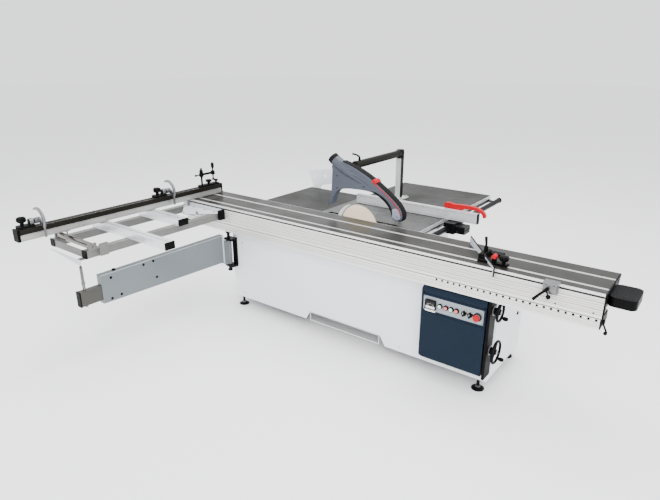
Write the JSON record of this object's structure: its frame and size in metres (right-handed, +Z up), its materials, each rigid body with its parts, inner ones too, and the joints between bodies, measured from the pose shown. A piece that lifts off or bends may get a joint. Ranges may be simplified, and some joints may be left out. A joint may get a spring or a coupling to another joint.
{
  "type": "sliding-table panel saw",
  "caption": "Panel saw with a long aluminium sliding table, outrigger and crosscut fence, tilting blade under an overhead guard, fixed tables with a rip fence, and a sheet-steel cabinet.",
  "frame": {"origin": "centre of the footprint's bounding box on the floor", "axes": "+X along the sliding table towards the operator's end, +Y from the sliding table towards the rip fence side, +Z up"},
  "size_m": [3.33, 3.01, 1.2944],
  "materials": {
    "white_paint": "powder-coated sheet steel",
    "light_paint": "light grey enamel",
    "grey_paint": "light blue-grey enamel",
    "table_paint": "dark satin enamel",
    "blue_paint": "slate blue powder coat",
    "hood_paint": "blue-grey enamel",
    "dark_paint": "dark grey enamel",
    "motor_paint": "motor enamel",
    "anodised": "satin anodised extrusion",
    "ground_steel": "ground",
    "zinc_steel": "zinc plated",
    "black_steel": "black oxide and paint",
    "table_iron": "ground and oiled",
    "cast_iron": "as cast, painted",
    "chrome": "polished",
    "black_plastic": "textured",
    "red_plastic": "moulded",
    "green_plastic": "moulded",
    "rubber": "ribbed belt"
  },
  "bodies": {
    "machine_frame": {"cabinet": "white_paint", "leveling_feet": "black_steel", "base_beam": "anodised", "beam_guide_rods": "ground_steel", "main_table": "table_iron", "throat_plate": "anodised", "rear_table": "table_paint", "side_table": "table_paint", "fence_rail": "black_steel", "hose_bracket": "white_paint", "trunnions": "cast_iron", "arm_hinge": "zinc_steel", "guard_post": "dark_paint", "control_box": "blue_paint", "instrument_plate": "zinc_steel"},
    "sliding_table": {"table_profile": "anodised", "table_end_caps": "black_plastic", "table_guide_rods": "ground_steel", "edge_clamp": "zinc_steel"},
    "ball_cage": {"ball_cage": "ground_steel"},
    "table_lock_lever": {"table_lock_lever": "black_steel"},
    "edge_clamp_lever": {"edge_clamp_lever": "black_plastic"},
    "edging_plate": {"edging_plate": "light_paint"},
    "outrigger": {"outrigger_frame": "grey_paint", "outrigger_bars": "anodised"},
    "end_roller": {"end_roller": "chrome"},
    "crosscut_fence": {"crosscut_fence": "anodised", "fence_fittings": "black_plastic"},
    "stop_carriage_a": {"stop_carriage_a": "black_plastic"},
    "flip_stop_a": {"flip_stop_a": "anodised"},
    "stop_carriage_b": {"stop_carriage_b": "black_plastic"},
    "flip_stop_b": {"flip_stop_b": "anodised"},
    "hold_down_arm": {"hold_down_arm": "black_steel"},
    "hold_down_spindle": {"hold_down_spindle": "ground_steel"},
    "swing_arm": {"swing_arm": "grey_paint"},
    "arm_extension": {"arm_extension": "grey_paint"},
    "tilt_frame": {"tilt_frame": "cast_iron"},
    "saw_carriage": {"saw_carriage": "cast_iron", "riving_knife": "ground_steel", "motor": "motor_paint", "drive_belt": "rubber"},
    "main_spindle": {"saw_blade": "ground_steel", "arbor": "ground_steel"},
    "motor_pulley": {"motor_pulley": "zinc_steel"},
    "scoring_spindle": {"scoring_spindle": "ground_steel"},
    "overarm": {"overarm": "dark_paint"},
    "overarm_lever": {"overarm_lever": "black_plastic"},
    "guard_hood": {"guard_hood": "hood_paint"},
    "rip_carriage": {"rip_carriage": "black_steel"},
    "rip_fence": {"rip_fence": "anodised"},
    "rip_lock_lever": {"rip_lock_lever": "red_plastic"},
    "lift_handwheel": {"lift_handwheel": "black_plastic"},
    "tilt_handwheel": {"tilt_handwheel": "black_plastic"},
    "push_button_1": {"push_button_1": "green_plastic"},
    "push_button_2": {"push_button_2": "red_plastic"},
    "push_button_3": {"push_button_3": "green_plastic"},
    "push_button_4": {"push_button_4": "red_plastic"},
    "selector_1": {"selector_1": "black_plastic"},
    "selector_2": {"selector_2": "black_plastic"},
    "emergency_stop": {"emergency_stop": "red_plastic"}
  },
  "joints": [
    {"name": "table_slide", "type": "slide", "parent": "machine_frame", "child": "sliding_table", "axis": [1, 0, 0], "range_m": [-1.35, 1.7]},
    {"name": "cage_slide", "type": "slide", "parent": "machine_frame", "child": "ball_cage", "axis": [1, 0, 0], "range_m": [-0.7, 0.86]},
    {"name": "table_lock", "type": "hinge", "parent": "machine_frame", "child": "table_lock_lever", "pos_m": [1.53, -0.09, 0.681], "axis": [1, 0, 0], "range_deg": [-40, 40]},
    {"name": "edge_clamp_turn", "type": "hinge", "parent": "sliding_table", "child": "edge_clamp_lever", "pos_m": [1.259, -0.174, 0.816], "axis": [0, 1, 0], "range_deg": [0, 55]},
    {"name": "edging_plate_slide", "type": "slide", "parent": "sliding_table", "child": "edging_plate", "axis": [1, 0, 0], "range_m": [-0.9, 0.2]},
    {"name": "outrigger_slide", "type": "slide", "parent": "sliding_table", "child": "outrigger", "axis": [1, 0, 0], "range_m": [0, 1]},
    {"name": "roller_spin", "type": "hinge", "parent": "outrigger", "child": "end_roller", "pos_m": [-1.401, -1.224, 0.824], "axis": [1, 0, 0], "continuous": true},
    {"name": "fence_mitre", "type": "hinge", "parent": "outrigger", "child": "crosscut_fence", "pos_m": [-1.57, -0.17, 0.85], "axis": [0, 0, 1], "range_deg": [0, 45]},
    {"name": "stop_slide_a", "type": "slide", "parent": "crosscut_fence", "child": "stop_carriage_a", "axis": [0, 1, 0], "range_m": [0, 0.8]},
    {"name": "stop_slide_b", "type": "slide", "parent": "crosscut_fence", "child": "stop_carriage_b", "axis": [0, 1, 0], "range_m": [-0.8, 0.25]},
    {"name": "stop_flip_a", "type": "hinge", "parent": "stop_carriage_a", "child": "flip_stop_a", "pos_m": [-1.57, -1.35, 0.962], "axis": [0, 1, 0], "range_deg": [-120, 0]},
    {"name": "stop_flip_b", "type": "hinge", "parent": "stop_carriage_b", "child": "flip_stop_b", "pos_m": [-1.57, -0.35, 0.962], "axis": [0, 1, 0], "range_deg": [-120, 0]},
    {"name": "hold_down_turn", "type": "hinge", "parent": "crosscut_fence", "child": "hold_down_arm", "pos_m": [-1.57, -0.016, 1.03], "axis": [0, 0, 1], "range_deg": [-90, 90]},
    {"name": "hold_down_press", "type": "slide", "parent": "hold_down_arm", "child": "hold_down_spindle", "axis": [0, 0, 1], "range_m": [-0.02, 0]},
    {"name": "arm_swing", "type": "hinge", "parent": "machine_frame", "child": "swing_arm", "pos_m": [-1.213, -0.088, 0.46], "axis": [0, 0, 1], "range_deg": [-50, 50]},
    {"name": "arm_extend", "type": "slide", "parent": "swing_arm", "child": "arm_extension", "axis": [0, -1, 0], "range_m": [-0.08, 0.25]},
    {"name": "blade_tilt", "type": "hinge", "parent": "machine_frame", "child": "tilt_frame", "pos_m": [-0.165, 0.232, 0.85], "axis": [-1, 0, 0], "range_deg": [0, 45]},
    {"name": "blade_lift", "type": "slide", "parent": "tilt_frame", "child": "saw_carriage", "axis": [0, 0, 1], "range_m": [-0.105, 0]},
    {"name": "blade_spin", "type": "hinge", "parent": "saw_carriage", "child": "main_spindle", "pos_m": [-0.177, 0.232, 0.7925], "axis": [0, 1, 0], "continuous": true},
    {"name": "motor_spin", "type": "hinge", "parent": "saw_carriage", "child": "motor_pulley", "pos_m": [-0.177, 0.37, 0.55], "axis": [0, 1, 0], "continuous": true},
    {"name": "scoring_spin", "type": "hinge", "parent": "saw_carriage", "child": "scoring_spindle", "pos_m": [0.043, 0.232, 0.789], "axis": [0, 1, 0], "continuous": true},
    {"name": "overarm_swing", "type": "hinge", "parent": "machine_frame", "child": "overarm", "pos_m": [-0.25, 0.91, 1.216], "axis": [0, 0, 1], "range_deg": [-45, 0]},
    {"name": "overarm_clamp", "type": "hinge", "parent": "overarm", "child": "overarm_lever", "pos_m": [-0.25, 0.33, 1.248], "axis": [0, 0, 1], "range_deg": [-60, 60]},
    {"name": "hood_lift", "type": "hinge", "parent": "overarm", "child": "guard_hood", "pos_m": [-0.25, 0.232, 1.216], "axis": [0, 1, 0], "range_deg": [-25, 0]},
    {"name": "rip_slide", "type": "slide", "parent": "machine_frame", "child": "rip_carriage", "axis": [0, 1, 0], "range_m": [-0.29, 0.24]},
    {"name": "rip_fence_slide", "type": "slide", "parent": "rip_carriage", "child": "rip_fence", "axis": [1, 0, 0], "range_m": [-0.12, 0.15]},
    {"name": "rip_lock", "type": "hinge", "parent": "rip_carriage", "child": "rip_lock_lever", "pos_m": [0.313, 0.626, 0.938], "axis": [0, 1, 0], "range_deg": [-45, 0]},
    {"name": "lift_wheel_turn", "type": "hinge", "parent": "machine_frame", "child": "lift_handwheel", "pos_m": [0.975, -0.09, 0.58], "axis": [1, 0, 0], "range_deg": [-1800, 0]},
    {"name": "tilt_wheel_turn", "type": "hinge", "parent": "machine_frame", "child": "tilt_handwheel", "pos_m": [0.975, -0.09, 0.325], "axis": [1, 0, 0], "range_deg": [0, 3240]},
    {"name": "button_press_1", "type": "slide", "parent": "machine_frame", "child": "push_button_1", "axis": [0, 1, 0], "range_m": [0, 0.004], "stiffness_N_per_m": 400},
    {"name": "button_press_2", "type": "slide", "parent": "machine_frame", "child": "push_button_2", "axis": [0, 1, 0], "range_m": [0, 0.004], "stiffness_N_per_m": 400},
    {"name": "button_press_3", "type": "slide", "parent": "machine_frame", "child": "push_button_3", "axis": [0, 1, 0], "range_m": [0, 0.004], "stiffness_N_per_m": 400},
    {"name": "button_press_4", "type": "slide", "parent": "machine_frame", "child": "push_button_4", "axis": [0, 1, 0], "range_m": [0, 0.004], "stiffness_N_per_m": 400},
    {"name": "selector_turn_1", "type": "hinge", "parent": "machine_frame", "child": "selector_1", "pos_m": [0.82, -0.143, 0.539], "axis": [0, 1, 0], "range_deg": [-45, 45]},
    {"name": "selector_turn_2", "type": "hinge", "parent": "machine_frame", "child": "selector_2", "pos_m": [0.858, -0.143, 0.539], "axis": [0, 1, 0], "range_deg": [-45, 45]},
    {"name": "emergency_press", "type": "slide", "parent": "machine_frame", "child": "emergency_stop", "axis": [0, 1, 0], "range_m": [0, 0.006], "stiffness_N_per_m": 400}
  ],
  "couplings": [
    {"joint": "cage_slide", "follows": "table_slide", "ratio": 0.5},
    {"joint": "motor_spin", "follows": "blade_spin", "ratio": 0.6964},
    {"joint": "lift_wheel_turn", "follows": "blade_lift", "rad_per_m": 298.9},
    {"joint": "tilt_wheel_turn", "follows": "blade_tilt", "ratio": 72}
  ]
}
